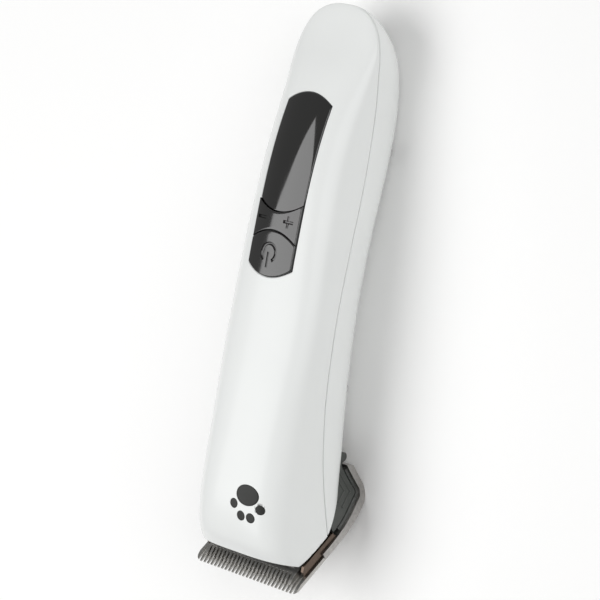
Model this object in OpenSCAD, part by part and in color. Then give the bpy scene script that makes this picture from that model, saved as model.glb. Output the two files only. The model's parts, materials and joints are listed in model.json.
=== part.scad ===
// Cordless pet clipper with a clip-on blade set. It lies on its back: the face looks up, the
// blade end points to -Y and the tail to +Y. Lengths are in millimetres.

/* [Overall size] */
// Length from the comb tips to the end of the tail
total_l = 173; // [165:1:210]
// Width of the comb over its end teeth
blade_w = 42; // [40:0.5:50.5]
// Width of the grip at its widest
grip_w = 37.6; // [36:0.1:45.2]

/* [Housing] */
// Wall thickness of the two shells
wall = 2; // [1.6:0.1:2.4]
// Open groove along the parting line
part_gap = 0.2; // [0.1:0.05:0.4]
// Radius of the screws' threads
screw_r = 1; // [0.8:0.05:1.2]

/* [Panel and keys] */
// Width of the panel
panel_w = 17.5; // [14:0.1:18]
// Length of the window along its edges
window_l = 29.9; // [24:0.1:36]
// Length of the speed rocker along its edges
rocker_l = 11.6; // [10:0.1:14]
// Length of the power key along its edges
power_l = 7.6; // [6.3:0.1:9.2]
// How far the keys stand proud of the face
key_proud = 0.5; // [0.2:0.05:0.7]
// Travel of the power key
key_travel = 0.4; // [0.2:0.05:0.45]

/* [Blade set] */
// Number of comb teeth
comb_teeth = 28; // [20:1:32]
// Pitch of the teeth
tooth_pitch = 1.5; // [1.3:0.01:1.55]
// Depth of the gaps between the comb teeth
tooth_l = 6; // [4:0.1:7]
// Thickness of the comb plate
comb_t = 1.2; // [0.8:0.05:1.4]
// Thickness of the moving cutter
cutter_t = 1.6; // [1.2:0.05:1.8]
// Distance the cutter moves to each side
stroke = 1.1; // [0.7:0.05:1.2]
// Thickness of the silver base
base_t = 2.3; // [2:0.05:2.5]
// Angle of the blade set to the grip
blade_angle = 45; // [44:0.5:46]

/* [Drive and battery] */
// Radius of the motor can
motor_r = 10.2; // [8.5:0.1:10.4]
// Length of the motor can
motor_l = 26; // [22:0.5:27]
// Radius of the battery cell
cell_r = 7.1; // [5.9:0.1:7.2]
// Length of the battery cell
cell_l = 48.5; // [40:0.5:50]

/* [Charging inlet] */
// Radius of the hole that takes the charging plug
inlet_r = 4; // [3:0.1:4.2]
// Length of the hole's wall
inlet_l = 4; // [3:0.1:4.5]

/* [Hidden] */

$fn = 48;
fit_gap = 0.1;            // between pieces that are seated on each other
slide_gap = 0.15;         // between pieces that slide past each other
pin_gap = 0.06;           // radial, round the hinge pin and the shaft
far = 300;                // reach of a cutting block

// ---- Outline of the housing: [distance from the comb tips, height or half width] ----
drawn_l = 173;            // the length at which these outlines are drawn
neck_y = 42;              // the outlines stretch behind this point
nose_y = 8;               // front edge of the face
face_line = [[8, 38], [12, 41.5], [20, 44.3], [30, 45.7], [40, 46], [60, 45.8], [80, 45.3],
  [100, 45.4], [120, 44.8], [135, 42.8], [150, 38.7], [160, 35.2], [167, 33.6], [173, 33]];
back_line = [[8, 11.4], [24, 11.4], [42, 11.6], [53, 12.9], [65, 14.2], [77, 15.1], [89, 15.5],
  [102, 15.1], [115, 13.7], [128, 11.9], [140, 11.1], [150, 12], [160, 15.6], [167, 20], [173, 26]];
part_line = [[8, 17.3], [14, 19.5], [25, 23.6], [36, 27], [47, 29.5], [58, 31.3], [70, 32.2],
  [82, 32.5], [95, 31.9], [108, 30.9], [120, 29.9], [133, 29.4], [145, 29.7], [156, 31], [173, 31.5]];
side_line = [[0, blade_w / 2 - 0.4], [20, blade_w / 2 - 1], [40, grip_w / 2 + 0.5],
  [80, grip_w / 2], [110, grip_w / 2 - 0.8], [140, grip_w / 2 - 1.9], [160, grip_w / 2 - 2.4],
  [173, grip_w / 2 - 2.8]];
tail_z = 31.5;            // height of the end of the tail
cap_l = 20;               // length over which the tail rounds off
cap_power = 2.5;
back_power = 2.6;         // squareness of the back, the face and the nose's face
face_power = 2.45;
nose_power = 3.5;
cap_y = total_l - cap_l;

function find(t, y, i = 0) = i >= len(t) - 2 || y < t[i + 1][0] ? i : find(t, y, i + 1);
function slope(t, i) = let (a = t[max(i - 1, 0)], b = t[min(i + 1, len(t) - 1)])
  (b[1] - a[1]) / (b[0] - a[0]);
// Height of the smooth curve through the points of t
function curve(t, y) = let (i = find(t, y), a = t[i], b = t[i + 1], h = b[0] - a[0],
  u = (y - a[0]) / h, v = 1 - u)
  (1 + 2 * u) * v * v * a[1] + u * v * v * h * slope(t, i)
  + u * u * (3 - 2 * u) * b[1] - u * u * v * h * slope(t, i + 1);
function drawn(y) = y < neck_y ? y : neck_y + (y - neck_y) * (drawn_l - neck_y) / (total_l - neck_y);
function face_pow(y) = face_power
  + (nose_power - face_power) * pow(max(0, min(1, (60 - y) / (60 - nose_y))), 2);
// Share of the full section that is left where the tail rounds off, for a surface inset by d
function cap(y, d) = pow(1 - pow(max(0, min(1, (y - cap_y) / (cap_l - d))), cap_power), 1 / cap_power);
function side(y, d) = (curve(side_line, drawn(y)) - d);
function split_z(y) = curve(part_line, drawn(y));
function front_h(y, d) = curve(face_line, drawn(y)) - d - split_z(y);
function back_h(y, d) = split_z(y) - curve(back_line, drawn(y)) - d;
// Point of the section at y, inset by d, at angle a from +X: dir is 1 over the face, -1 over the back
function hull_pt(y, d, a, dir, gap = 0) = let (s = cap(y, d),
  n = dir > 0 ? face_pow(y) : back_power, h = (dir > 0 ? front_h(y, d) : back_h(y, d)) - gap,
  x = sign(cos(a)) * pow(abs(cos(a)), 2 / n) * side(y, d),
  z = split_z(y) + dir * (gap + pow(sin(a), 2 / n) * h))
  [x * s, y, tail_z + (z - tail_z) * s];
// Height of the face and of the back at x
function face_z(x, y, d) = let (n = face_pow(y), s = cap(y, d))
  tail_z + (split_z(y) - tail_z) * s
  + s * front_h(y, d) * pow(max(0, 1 - pow(abs(x) / s / side(y, d), n)), 1 / n);
function back_z(x, y, d) = let (n = back_power, s = cap(y, d))
  tail_z + (split_z(y) - tail_z) * s
  - s * back_h(y, d) * pow(max(0, 1 - pow(abs(x) / s / side(y, d), n)), 1 / n);

// ---- Line of the blade set in the YZ plane: the comb plane, the heel, and the leg up to the neck ----
comb_z = 31.6;            // height of the comb tips
plane_l = 42.1;           // from the tips to where the plane and the leg would cross
leg_l = 14.6;             // from there to the hinge
leg_rise = 40;            // angle of the leg
heel_r = 4.7;
bend = (180 - blade_angle - leg_rise) / 2;
along = [cos(blade_angle), -sin(blade_angle)];
inward = [sin(blade_angle), cos(blade_angle)];
leg_dir = [cos(leg_rise), sin(leg_rise)];
leg_in = [-sin(leg_rise), cos(leg_rise)];
function at(s, n) = [0, comb_z] + s * along + n * inward;
corner = at(plane_l, 0);
heel_c = corner + heel_r / tan(bend) * leg_dir + heel_r * leg_in;
function heel(n) = n < heel_r - 0.5
  ? [for (i = [0 : 8]) let (a = 270 - blade_angle + i * (blade_angle + leg_rise) / 8)
      heel_c + (heel_r - n) * [cos(a), sin(a)]]
  : [at(plane_l - n / tan(bend), n)];
// The line at height n over the outer face, from s to a point on the leg
function blade_line(s, n, leg) = concat([at(s, n)], heel(n), [corner + leg * leg_dir + n * leg_in]);
function back_to_front(p) = [for (i = [len(p) - 1 : -1 : 0]) p[i]];

base_s = 15;              // where the silver base starts behind the teeth
hinge_in = 1.5;           // the hinge pin's distance from the outer face
knuckle_r = 1.5;
hinge_r = 0.6;
hinge = corner + leg_l * leg_dir + hinge_in * leg_in;
knuckle_x = 10.5;         // half width of the knuckle
lug_x = 13.3;             // outer faces of the collar's lugs

// ---- Resting place: turned until the heel and the back touch the ground together ----
rest_ys = [for (k = [0 : 2 : 60]) total_l - 60 + k];
function low_heel(a) = -heel_c[0] * sin(a) + heel_c[1] * cos(a) - heel_r;
function low_back(a) = min([for (y = rest_ys) -y * sin(a) + hull_pt(y, 0, 90, -1, part_gap / 2)[2] * cos(a)]);
function settle(lo, hi, n) = let (m = (lo + hi) / 2)
  n == 0 ? m : low_back(m) > low_heel(m) ? settle(m, hi, n - 1) : settle(lo, m, n - 1);
lean = settle(0, 12, 24);
tail_reach = max([for (k = [0.95, 0.99], dir = [-1, 1])
  let (p = hull_pt(cap_y + cap_l * k, 0, 90, dir)) p[1] * cos(lean) + p[2] * sin(lean)]);
rest_move = [0, -(tail_reach + comb_z * sin(lean)) / 2, -low_heel(lean)];
module rest() translate(rest_move) rotate([-lean, 0, 0]) children();

// ---- Shared shapes ----
module yz(points, w) rotate([90, 0, 90]) linear_extrude(w, center = true) polygon(points);
module xz(points, y, t) translate([0, y + t, 0]) rotate([90, 0, 0]) linear_extrude(t) polygon(points);
module on_blade() translate([0, 0, comb_z]) rotate([-blade_angle, 0, 0]) children();
module block(x0, x1, y0, y1, z0, z1) translate([x0, y0, z0]) cube([x1 - x0, y1 - y0, z1 - z0]);
module rod_y(r, x, z, y0, y1) translate([x, y0, z]) rotate([-90, 0, 0]) cylinder(r = r, h = y1 - y0);
module rod_x(r, c, x0, x1) translate([x0, c[0], c[1]]) rotate([0, 90, 0]) cylinder(r = r, h = x1 - x0);
module mirrored() { children(); mirror([1, 0, 0]) children(); }
module above_blade(n) on_blade() block(-far / 2, far / 2, -far / 2, far / 2, n, far);
module below_blade(n) on_blade() block(-far / 2, far / 2, -far / 2, far / 2, -far, n);

// Half width of the blade set seen from above
plan_line = [[-4, blade_w / 2], [15, blade_w / 2], [22, blade_w / 2 - 1], [28, blade_w / 2 - 3.5],
  [32, blade_w / 2 - 5], [36, blade_w / 2 - 6], [46, blade_w / 2 - 7.5]];
module plan(inset) {
  ys = [for (y = [-4 : 2 : 46]) y];
  function half(y) = min(blade_w / 2, curve(plan_line, y)) - inset;
  translate([0, 0, -far / 2]) linear_extrude(far)
    polygon(concat([for (y = ys) [half(y), y]], [for (y = back_to_front(ys)) [-half(y), y]]));
}
module blade_band(s, n0, n1, leg, inset) intersection() {
  yz(concat(blade_line(s, n0, leg), back_to_front(blade_line(s, n1, leg))), blade_w + 2);
  plan(inset);
}

// A round tube through the given points, with its two ends closed
function ring(p, dir, r, sides) = let (d = dir / norm(dir), q = abs(d[0]) < 0.9 ? [1, 0, 0] : [0, 1, 0],
  u = cross(d, q) / norm(cross(d, q)), v = cross(d, u))
  [for (k = [0 : sides - 1]) p + r * (cos(360 * k / sides) * u + sin(360 * k / sides) * v)];
module tube(path, r, sides = 8) {
  last = len(path) - 1;
  points = [for (i = [0 : last]) each ring(path[i], path[min(i + 1, last)] - path[max(i - 1, 0)], r, sides)];
  walls = [for (i = [0 : last - 1], k = [0 : sides - 1])
    let (a = i * sides + k, b = i * sides + (k + 1) % sides, c = b + sides, d = a + sides)
    each [[a, c, b], [a, d, c]]];
  polyhedron(points, concat(walls, [[for (k = [0 : sides - 1]) k]],
    [[for (k = [sides - 1 : -1 : 0]) last * sides + k]]));
}

// ---- Housing ----
cap_steps = [0, 0.22, 0.42, 0.58, 0.71, 0.81, 0.89, 0.95, 0.99];
arc_steps = 24;
function stations(d) = concat([for (k = [0 : 17]) nose_y + (cap_y - nose_y) * (k / 18)],
  [for (k = cap_steps) cap_y + k * (cap_l - d)]);
// One shell with its wall: dir is 1 for the face and -1 for the back
module half_shell(dir) {
  outer_y = stations(0);
  inner_y = stations(wall);
  arc = [for (k = [0 : arc_steps]) 180 * k / arc_steps];
  gap = part_gap / 2;
  points = [for (i = [0 : len(outer_y) - 1]) each concat(
    [for (a = arc) hull_pt(outer_y[i], 0, a, dir, gap)],
    [for (a = back_to_front(arc)) hull_pt(inner_y[i], wall, a, dir, gap)])];
  n = 2 * (arc_steps + 1);
  last = (len(outer_y) - 1) * n;
  walls = [for (i = [0 : len(outer_y) - 2], k = [0 : n - 1])
    let (a = i * n + k, b = i * n + (k + 1) % n, c = b + n, d = a + n) each [[a, b, c], [a, c, d]]];
  nose = [for (k = [0 : arc_steps - 1]) each [[k + 1, k, n - 1 - k], [k + 1, n - 1 - k, n - 2 - k]]];
  outer_end = [[for (k = [0 : arc_steps]) last + k]];
  inner_end = [[for (k = [arc_steps + 1 : n - 1]) last + k]];
  rim_end = [[last, last + arc_steps, last + arc_steps + 1, last + n - 1]];
  faces = concat(walls, nose, outer_end, inner_end, rim_end);
  polyhedron(points, dir > 0 ? faces : [for (f = faces) back_to_front(f)]);
}

// The solid within one shell's surface, inset by d
module half_body(dir, d) {
  ys = stations(d);
  n = arc_steps + 1;
  last = len(ys) - 1;
  points = [for (y = ys, k = [0 : arc_steps]) hull_pt(y, d, 180 * k / arc_steps, dir, part_gap / 2)];
  walls = [for (i = [0 : last - 1], k = [0 : n - 1])
    let (a = i * n + k, b = i * n + (k + 1) % n, c = b + n, e = a + n) each [[a, b, c], [a, c, e]]];
  faces = concat(walls, [[for (k = [n - 1 : -1 : 0]) k]], [[for (k = [0 : n - 1]) last * n + k]]);
  polyhedron(points, dir > 0 ? faces : [for (f = faces) back_to_front(f)]);
}

// Screws from the back: two beside the motor's end and two in the tail
screw_tail_y = cap_y - 21;
screw_at = [[grip_w / 2 - 5.5, 61], [grip_w / 2 - 6.9, screw_tail_y]];
screw_head_r = 1.9;
screw_head_h = 1.6;
screw_bite = 8;           // length of thread in the front boss
seat_depth = 2.6;         // of the screw head under the back
boss_r = 2.6;
sleeve_r = 3.2;
function seat_z(p) = back_z(p[0], p[1], 0) + seat_depth;

// The panel: bowed seams between a window, a rocker and a round-ended power key
panel_y = neck_y + 51.7;
key_seam = panel_y + power_l;
rocker_seam = key_seam + rocker_l;
panel_end = rocker_seam + window_l;
end_bow = 3.1;
seam_bow = 3;
seam = 0.12;              // each piece is this much smaller than its place
module tile(w, y0, bow0, y1, bow1, d_top, d_low) {
  nx = 12;
  ny = 6;
  x = [for (i = [0 : nx]) w * (2 * i / nx - 1)];
  function py(i, j) = let (b = 1 - pow(x[i] / w, 2)) (y0 + bow0 * b) * (1 - j / ny) + (y1 + bow1 * b) * j / ny;
  function id(i, j, k) = k * (nx + 1) * (ny + 1) + j * (nx + 1) + i;
  function wall_of(a, b, c, d) = [[a, b, c], [a, c, d]];
  points = [for (d = [d_top, d_low], j = [0 : ny], i = [0 : nx]) [x[i], py(i, j), face_z(x[i], py(i, j), d)]];
  tops = [for (i = [0 : nx - 1], j = [0 : ny - 1])
    each wall_of(id(i, j, 0), id(i, j + 1, 0), id(i + 1, j + 1, 0), id(i + 1, j, 0))];
  lows = [for (i = [0 : nx - 1], j = [0 : ny - 1])
    each wall_of(id(i, j, 1), id(i + 1, j, 1), id(i + 1, j + 1, 1), id(i, j + 1, 1))];
  ends = [for (i = [0 : nx - 1]) each concat(
    wall_of(id(i, 0, 0), id(i + 1, 0, 0), id(i + 1, 0, 1), id(i, 0, 1)),
    wall_of(id(i, ny, 0), id(i, ny, 1), id(i + 1, ny, 1), id(i + 1, ny, 0)))];
  sides = [for (j = [0 : ny - 1]) each concat(
    wall_of(id(0, j, 0), id(0, j, 1), id(0, j + 1, 1), id(0, j + 1, 0)),
    wall_of(id(nx, j, 0), id(nx, j + 1, 0), id(nx, j + 1, 1), id(nx, j, 1)))];
  polyhedron(points, concat(tops, lows, ends, sides));
}
module panel_hole() {
  w = panel_w / 2;
  steps = [for (i = [-8 : 8]) i / 8];
  translate([0, 0, split_z(panel_y) + 4]) linear_extrude(far / 2) polygon(concat(
    [for (u = steps) [u * w, panel_y - end_bow * (1 - u * u)]],
    [for (u = back_to_front(steps)) [u * w, panel_end + end_bow * (1 - u * u)]]));
}

// Where the back shell gives way to the collar and the blade set
neck_top = 15.6;
neck_lip = hinge[0] + 3.2;
collar_line = [[17, 21.2], [24.6, 18.5], [30, 16.2], [36, neck_top], [neck_lip, neck_top]];
mouth_n = 4.7;            // height of the housing's mouth over the comb plane
collar_n = 3.7;           // height of the collar's floor over the comb plane

inlet_y = neck_y + (drawn_l - 9 - neck_y) * (total_l - neck_y) / (drawn_l - neck_y);
inlet_tilt = 48;
inlet_boss_r = 6.6;
inlet_recess_r = 5.4;
inlet_mouth = 1.3;        // depth of the hole's mouth under the tail's surface
jack_r = 4.6;
jack_l = 5.6;
module at_inlet() translate([0, inlet_y, back_z(0, inlet_y, 0)]) rotate([-90 - inlet_tilt, 0, 0]) children();

module front_shell() color([0.95, 0.956, 0.95]) rest() difference() {
  union() {
    half_shell(1);
    screw_bosses();
  }
  below_blade(mouth_n);
  panel_hole();
  for (p = screw_at) mirrored()
    translate([p[0], p[1], split_z(p[1])]) cylinder(r = screw_r, h = screw_bite + 1);
  badge_shape(badge_gap, 1);
}
module screw_bosses() intersection() {
  for (p = screw_at) mirrored() translate([p[0], p[1], split_z(p[1]) + part_gap]) cylinder(r = boss_r, h = 30);
  half_body(1, wall / 2);
}

module screw_sleeves() intersection() {
  for (p = screw_at) mirrored() translate([p[0], p[1], 0]) cylinder(r = sleeve_r, h = split_z(p[1]) - part_gap);
  half_body(-1, wall / 2);
}
module rear_shell() color([0.93, 0.94, 0.935]) rest() difference() {
  union() {
    half_shell(-1);
    screw_sleeves();
    at_inlet() translate([0, 0, -inlet_mouth - inlet_l - jack_l]) cylinder(r = inlet_boss_r, h = inlet_l + jack_l);
  }
  below_blade(mouth_n);
  yz(concat(collar_line, [[neck_lip, -5], [0, -5], [0, 21.2]]), far / 4);
  for (p = screw_at) mirrored() translate([p[0], p[1], 0]) {
    cylinder(r = screw_head_r + 0.3, h = seat_z(p));
    cylinder(r = screw_r + 0.2, h = far / 4);
  }
  at_inlet() {
    translate([0, 0, -inlet_mouth]) cylinder(r = inlet_recess_r, h = 12);
    translate([0, 0, -inlet_mouth - inlet_l - 1]) cylinder(r = inlet_r, h = far / 10);
    translate([0, 0, -inlet_mouth - inlet_l - 14]) cylinder(r = jack_r + fit_gap / 2, h = 14);
  }
}

module shell_screws() color([0.62, 0.62, 0.63]) rest() for (p = screw_at) mirrored()
  translate([p[0], p[1], seat_z(p)]) difference() {
    union() {
      translate([0, 0, -screw_head_h]) cylinder(r = screw_head_r, h = screw_head_h);
      cylinder(r = screw_r - 0.03, h = split_z(p[1]) + screw_bite - seat_z(p));
    }
    for (a = [0, 90]) rotate(a) translate([-1.1, -0.22, -screw_head_h - 1]) cube([2.2, 0.44, 1.7]);
  }

// ---- Panel ----
lens_t = 1.6;
key_t = 1.5;              // of the keys below the face
tray_d = wall + 0.15;
tray_t = 1.2;
power_y = (panel_y - end_bow + key_seam + seam_bow) / 2;
rocker_y = (key_seam + rocker_seam) / 2;
rocker_x = 4.3;           // of the two switches under the rocker
rocker_pin_r = 0.55;      // of the rib that the rocker tips on, in a groove of the tray
rocker_pin_z = face_z(0, rocker_y, 1.75);
rocker_pin_l = 5;

module window_lens() color([0.12, 0.12, 0.115]) rest()
  tile(panel_w / 2 - seam, rocker_seam + seam, -seam_bow, panel_end - seam, end_bow, 0.03, lens_t);

board_t = 1.6;
board_w = 17.8;
board_y0 = panel_y - 33;
board_y1 = panel_end - 15;
board_gap = 0.17;         // between the control board and the tray over it
board_z = face_z(board_w / 2, board_y1, tray_d + tray_t) - board_gap;
switch_w = 5.6;
switch_h = 2;
plunger_r = 1.5;
plunger_h = 1;
plunger_top = board_z + switch_h + plunger_h;
stem_gap = 0.12;
module stem(x, y) translate([x, y, plunger_top + stem_gap])
  cylinder(r = plunger_r - 0.3, h = face_z(x, y, key_t - 0.4) - plunger_top - stem_gap);

module power_key() color([0.16, 0.16, 0.155]) rest() {
  tile(panel_w / 2 - seam, panel_y + seam, -end_bow, key_seam - seam, seam_bow, -key_proud, key_t);
  stem(0, power_y);
}
module speed_rocker() color([0.17, 0.17, 0.165]) rest() {
  tile(panel_w / 2 - seam, key_seam + seam, seam_bow, rocker_seam - seam, -seam_bow, -key_proud, key_t);
  mirrored() stem(rocker_x, rocker_y);
  rod_y(rocker_pin_r, 0, rocker_pin_z, rocker_y - rocker_pin_l / 2, rocker_y + rocker_pin_l / 2);
}
module panel_tray() color([0.1, 0.1, 0.1]) rest() difference() {
  tile(panel_w / 2 + 1.6, panel_y - 1.6, -end_bow, panel_end + 1.4, end_bow, tray_d, tray_d + tray_t);
  translate([0, power_y, 0]) cylinder(r = plunger_r + 0.7, h = far / 4);
  mirrored() translate([rocker_x, rocker_y, 0]) cylinder(r = plunger_r + 0.7, h = far / 4);
  rod_y(rocker_pin_r + pin_gap, 0, rocker_pin_z, rocker_y - rocker_pin_l / 2 - fit_gap,
    rocker_y + rocker_pin_l / 2 + fit_gap);
  block(-5, 5, rocker_seam + 3, panel_end - 6, 0, far / 4);
  for (p = screw_at) mirrored() translate([p[0], p[1], 0]) cylinder(r = boss_r + fit_gap, h = far / 4);
}

// A paw print, left standing in a shallow seat in the face
badge_x = 7.2;
badge_y = 25;
badge_gap = 0.05;
badge_t = 0.45;
pad_r = 3.1;
toe_r = 1.45;
toes = [[-4.6, 1.5], [-1.7, 4.6], [1.7, 4.6], [4.6, 1.5]];
module badge_outline(grow) {
  scale([1.25, 1]) translate([0, -1.9]) circle(r = pad_r + grow);
  for (t = toes) translate(t) circle(r = toe_r + grow);
}
module badge_shape(grow, reach) intersection() {
  translate([badge_x, badge_y, 0]) rotate(180) linear_extrude(far / 4) badge_outline(grow);
  badge_skin(badge_t + grow, -reach);
}
// A patch of the face's own surface from d_low below it to d_top above it
module badge_skin(d_low, d_top) {
  n = 10;
  half = 8;
  function px(i) = badge_x + half * (2 * i / n - 1);
  function py(j) = badge_y + half * (2 * j / n - 1);
  function id(i, j, k) = k * (n + 1) * (n + 1) + j * (n + 1) + i;
  function quad(a, b, c, d) = [[a, b, c], [a, c, d]];
  points = [for (d = [d_top, d_low], j = [0 : n], i = [0 : n]) [px(i), py(j), face_z(px(i), py(j), d)]];
  faces = concat(
    [for (i = [0 : n - 1], j = [0 : n - 1]) each concat(
      quad(id(i, j, 0), id(i, j + 1, 0), id(i + 1, j + 1, 0), id(i + 1, j, 0)),
      quad(id(i, j, 1), id(i + 1, j, 1), id(i + 1, j + 1, 1), id(i, j + 1, 1)))],
    [for (i = [0 : n - 1]) each concat(
      quad(id(i, 0, 0), id(i + 1, 0, 0), id(i + 1, 0, 1), id(i, 0, 1)),
      quad(id(i, n, 0), id(i, n, 1), id(i + 1, n, 1), id(i + 1, n, 0)),
      quad(id(0, i, 0), id(0, i, 1), id(0, i + 1, 1), id(0, i + 1, 0)),
      quad(id(n, i, 0), id(n, i + 1, 0), id(n, i + 1, 1), id(n, i, 1)))]);
  polyhedron(points, faces);
}
module paw_badge() color([0.14, 0.14, 0.14]) rest() badge_shape(0, 0.04);

// ---- Electronics ----
module control_board() color([0.1, 0.32, 0.2]) rest() difference() {
  block(-board_w / 2, board_w / 2, board_y0, board_y1, board_z - board_t, board_z);
  translate([0, board_y0 + 4, 0]) cylinder(r = 1.6, h = far / 4);
  translate([0, board_y1 - 3, 0]) cylinder(r = 1.1, h = far / 4);
}
module switch_body(x, y) difference() {
  block(x - switch_w / 2 + 0.35, x + switch_w / 2 - 0.35, y - switch_w / 2, y + switch_w / 2,
    board_z, board_z + switch_h);
  translate([x, y, board_z + 0.8]) cylinder(r = plunger_r + 0.1, h = far / 10);
}
module switch_bodies() color([0.2, 0.2, 0.21]) rest() {
  switch_body(0, power_y);
  mirrored() switch_body(rocker_x, rocker_y);
}
module plunger(x, y) translate([x, y, board_z + 1.4]) cylinder(r = plunger_r, h = plunger_top - board_z - 1.4);
module power_plunger() color([0.75, 0.74, 0.7]) rest() plunger(0, power_y);
module minus_plunger() color([0.75, 0.74, 0.7]) rest() plunger(-rocker_x, rocker_y);
module plus_plunger() color([0.75, 0.74, 0.7]) rest() plunger(rocker_x, rocker_y);
light_pitch = 5;
module charge_lights() color([0.85, 0.9, 0.85]) rest() for (k = [0 : 2])
  translate([0, rocker_seam + 6 + k * light_pitch, board_z]) {
    block(-1.6, 1.6, -0.8, 0.8, 0, 0.7);
    translate([0, 0, 0.7]) cylinder(r = 0.7, h = 0.4);
  }

// ---- Motor and drive ----
axis_z = 29;              // height of the motor's axis
motor_y = 30;
motor_flat = 7.7;         // half height of the can between its flats
can_t = 1;
shaft_r = 1;
motor_end = motor_y + motor_l;
module can_shape(r, flat, y0, y1) intersection() {
  rod_y(r, 0, axis_z, y0, y1);
  block(-r - 1, r + 1, y0, y1, axis_z - flat, axis_z + flat);
}
module motor_can() color([0.66, 0.66, 0.66]) rest() difference() {
  can_shape(motor_r, motor_flat, motor_y, motor_end);
  can_shape(motor_r - can_t, motor_flat - can_t, motor_y + can_t, motor_end + 1);
  rod_y(2.5, 0, axis_z, motor_y - 1, motor_y + 2);
}
module motor_cap() color([0.12, 0.12, 0.13]) rest() difference() {
  union() {
    can_shape(motor_r, motor_flat, motor_end + fit_gap, motor_end + 2.2);
    can_shape(motor_r - can_t - fit_gap, motor_flat - can_t - fit_gap, motor_end - 2, motor_end + 1);
    mirrored() block(5.2, 6, motor_end + 2, motor_end + 4, axis_z - 1.2, axis_z + 1.2);
  }
  rod_y(2.5, 0, axis_z, motor_end - 3, motor_end + 3);
  can_shape(7, 4.6, motor_end - 3, motor_end - 0.6);
}
module motor_bushings() color([0.72, 0.58, 0.36]) rest() difference() {
  union() {
    rod_y(2.45, 0, axis_z, motor_y - 1, motor_y + 1.5);
    rod_y(2.45, 0, axis_z, motor_end - 0.5, motor_end + 2);
  }
  rod_y(shaft_r + pin_gap, 0, axis_z, motor_y - 3, motor_end + 4);
}
armature_r = 5.2;
module motor_magnets() color([0.24, 0.24, 0.25]) rest() intersection() {
  difference() {
    rod_y(motor_r - can_t - fit_gap, 0, axis_z, motor_y + 4, motor_end - 4);
    rod_y(armature_r + 0.9, 0, axis_z, motor_y, motor_end);
  }
  mirrored() block(4.6, motor_r, motor_y, motor_end, axis_z - 5.6, axis_z + 5.6);
}
module armature() color([0.6, 0.32, 0.16]) rest() difference() {
  rod_y(armature_r, 0, axis_z, motor_y + 5, motor_end - 5);
  rod_y(shaft_r, 0, axis_z, motor_y, motor_end);
  for (k = [0 : 2]) translate([0, 0, axis_z]) rotate([0, 60 + 120 * k, 0])
    block(armature_r - 2.6, armature_r + 1, motor_y, motor_end, -0.7, 0.7);
}
cam_y = motor_y - 8;
cam_l = 5;
cam_r = 4.2;
pin_r = 0.9;
pin_tip = 10.6;           // front end of the drive pin
pin_z = axis_z + stroke;
module motor_shaft() color([0.78, 0.78, 0.79]) rest() rod_y(shaft_r, 0, axis_z, cam_y + 2, motor_end + 1.4);
module eccentric_cam() color([0.9, 0.88, 0.82]) rest() difference() {
  union() {
    rod_y(cam_r, 0, axis_z, cam_y, cam_y + cam_l);
    rod_y(2.2, 0, axis_z, cam_y, motor_y - 1.4);
  }
  rod_y(shaft_r, 0, axis_z, cam_y + 2, motor_y + 1);
  rod_y(pin_r, 0, pin_z, cam_y - 1, cam_y + 1.6);
}
module drive_pin() color([0.8, 0.8, 0.81]) rest() rod_y(pin_r, 0, pin_z, pin_tip, cam_y + 1.6);

// ---- Battery, chassis and leads ----
cell_y = motor_end + 6.5;
cell_end = cell_y + cell_l;
cell_z = 25.2;
cell_tab_t = 0.4;
module battery_cell() color([0.13, 0.36, 0.6]) rest() {
  rod_y(cell_r, 0, cell_z, cell_y, cell_end);
  rod_y(cell_r * 0.4, 0, cell_z, cell_end - 1, cell_end + 0.8);
}
module cell_tabs() color([0.8, 0.8, 0.78]) rest() {
  block(-2, 2, cell_y - fit_gap - cell_tab_t, cell_y - fit_gap, cell_z - 4, cell_z + cell_r + 1);
  block(-2, 2, cell_end + 0.8 + fit_gap, cell_end + 0.8 + fit_gap + cell_tab_t, cell_z - 3, cell_z + cell_r + 1);
}

rail_x = cell_r + 0.5;
rail_t = 1.6;
rail_z = 19.8;
saddle_t = 2;
saddle_w = rail_x + rail_t;
cell_saddles = [cell_y + 3, cell_y + cell_l / 2, cell_end - 4];
motor_saddles = [motor_y + 1, motor_end - 4];
module saddle(y, half, top) difference() {
  block(-half, half, y, y + saddle_t, rail_z, top);
  children();
}
module chassis() color([0.78, 0.79, 0.8]) rest() {
  mirrored() block(rail_x, saddle_w, motor_y + 1, cell_end - 2, rail_z, rail_z + 1.4);
  for (y = cell_saddles) {
    saddle(y, saddle_w, cell_z + 3) rod_y(cell_r + slide_gap, 0, cell_z, cell_y - 5, cell_end + 5);
    mirrored() block(rail_x + 0.1, saddle_w, y, y + saddle_t, rail_z, board_z - board_t - fit_gap);
  }
  for (y = motor_saddles) saddle(y, motor_r + 1.6, axis_z + 4)
    can_shape(motor_r + fit_gap, motor_flat + fit_gap, motor_y - 5, motor_end + 5);
}

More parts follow.
